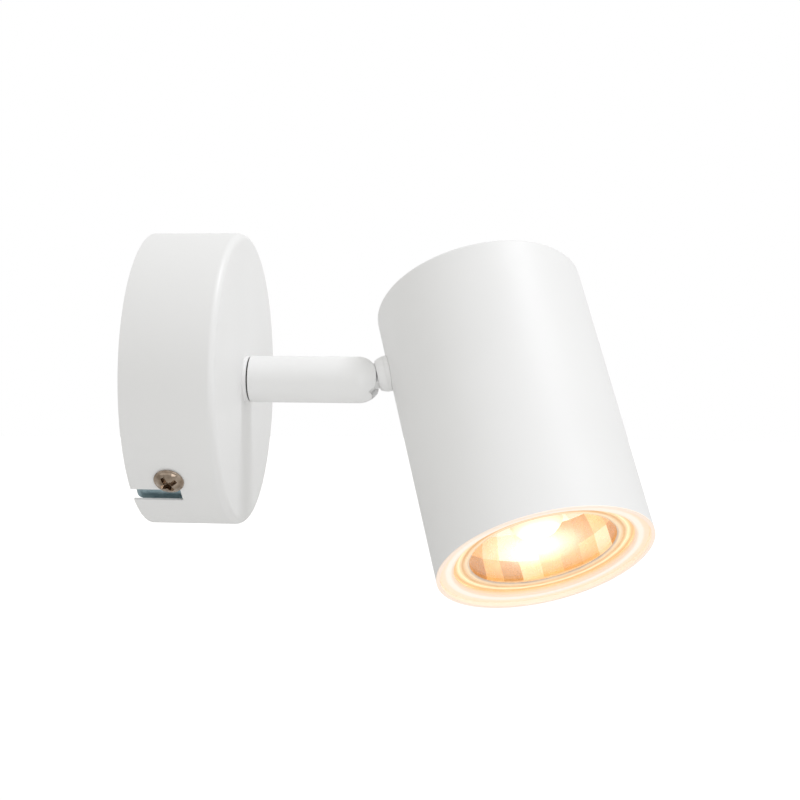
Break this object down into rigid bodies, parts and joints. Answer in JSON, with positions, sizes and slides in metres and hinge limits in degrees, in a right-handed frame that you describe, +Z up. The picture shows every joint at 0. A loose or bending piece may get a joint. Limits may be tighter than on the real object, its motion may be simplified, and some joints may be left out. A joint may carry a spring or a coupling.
{
  "type": "pivoting spotlight wall light",
  "caption": "White wall spotlight: round canopy, short swivelling arm, tilting hinge and plain cylindrical head holding a reflector lamp.",
  "frame": {"origin": "centre of the canopy's back, on the wall", "axes": "-Y out of the wall along the arm, +Z up, +X to the right of a person who faces the wall"},
  "size_m": [0.0912, 0.1365, 0.1009],
  "materials": {
    "canopy_paint": "satin",
    "arm_paint": "satin",
    "head_paint": "satin",
    "ring_paint": "satin",
    "zinc": "zinc plated",
    "nickel": "nickel plated",
    "brass": "turned",
    "black_rubber": "matte",
    "dark_washer": "matte",
    "block_plastic": "matte",
    "live_brown": "matte",
    "neutral_blue": "matte",
    "earth_green": "matte",
    "sheath": "matte",
    "steatite": "unglazed",
    "lamp_glass": "clear",
    "reflector_coat": "faceted, coated glass",
    "dome_lit": "frosted and lit, warm white",
    "lamp_base_white": "matte"
  },
  "bodies": {
    "wall_base": {"wall_bracket": "zinc", "cable_grommet": "black_rubber", "terminal_block": "block_plastic", "terminal_sleeves": "brass", "terminal_screws": "zinc", "terminal_fixing_screw": "zinc", "wall_canopy": "canopy_paint", "canopy_screws": "nickel", "earth_tag": "brass", "swivel_nipple": "zinc", "nipple_lock_washer": "zinc", "nipple_nut": "zinc", "swivel_collar": "arm_paint", "swivel_friction_washer": "dark_washer", "swivel_wave_washer": "zinc", "swivel_slotted_nut": "brass", "live_lead": "live_brown", "neutral_lead": "neutral_blue", "earth_lead": "earth_green"},
    "arm": {"arm_tube": "arm_paint", "knuckle_cheek": "arm_paint", "knuckle_cheek_screw": "nickel", "hinge_washers": "dark_washer", "arm_bush": "brass", "swivel_stop_pin": "zinc", "arm_lead": "sheath"},
    "spot_head": {"hinge_stem": "arm_paint", "stem_saddle_ring": "arm_paint", "inner_saddle_washer": "zinc", "stem_lock_washer": "zinc", "stem_nut": "zinc", "head_shell": "head_paint", "retaining_ring": "ring_paint", "lampholder_bracket": "zinc", "lampholder_screws": "zinc", "lampholder": "steatite", "lampholder_contacts": "brass", "head_lead": "sheath"},
    "lamp": {"lamp_rim": "lamp_glass", "lamp_front_glass": "lamp_glass", "lamp_reflector": "reflector_coat", "lamp_dome": "dome_lit", "lamp_base": "lamp_base_white", "lamp_pins": "nickel"}
  },
  "joints": [
    {"name": "arm_swivel", "type": "hinge", "parent": "wall_base", "child": "arm", "pos_m": [0, -0.026, 0], "axis": [0, 1, 0], "range_deg": [-195, 135]},
    {"name": "head_tilt", "type": "hinge", "parent": "arm", "child": "spot_head", "pos_m": [0, -0.0563, 0], "axis": [-0.866, 0, 0.5], "range_deg": [-15, 75]},
    {"name": "lamp_twist", "type": "hinge", "parent": "spot_head", "child": "lamp", "pos_m": [0.00481, -0.09223, 0.00834], "axis": [-0.483, -0.2588, -0.8365], "range_deg": [0, 25]}
  ]
}
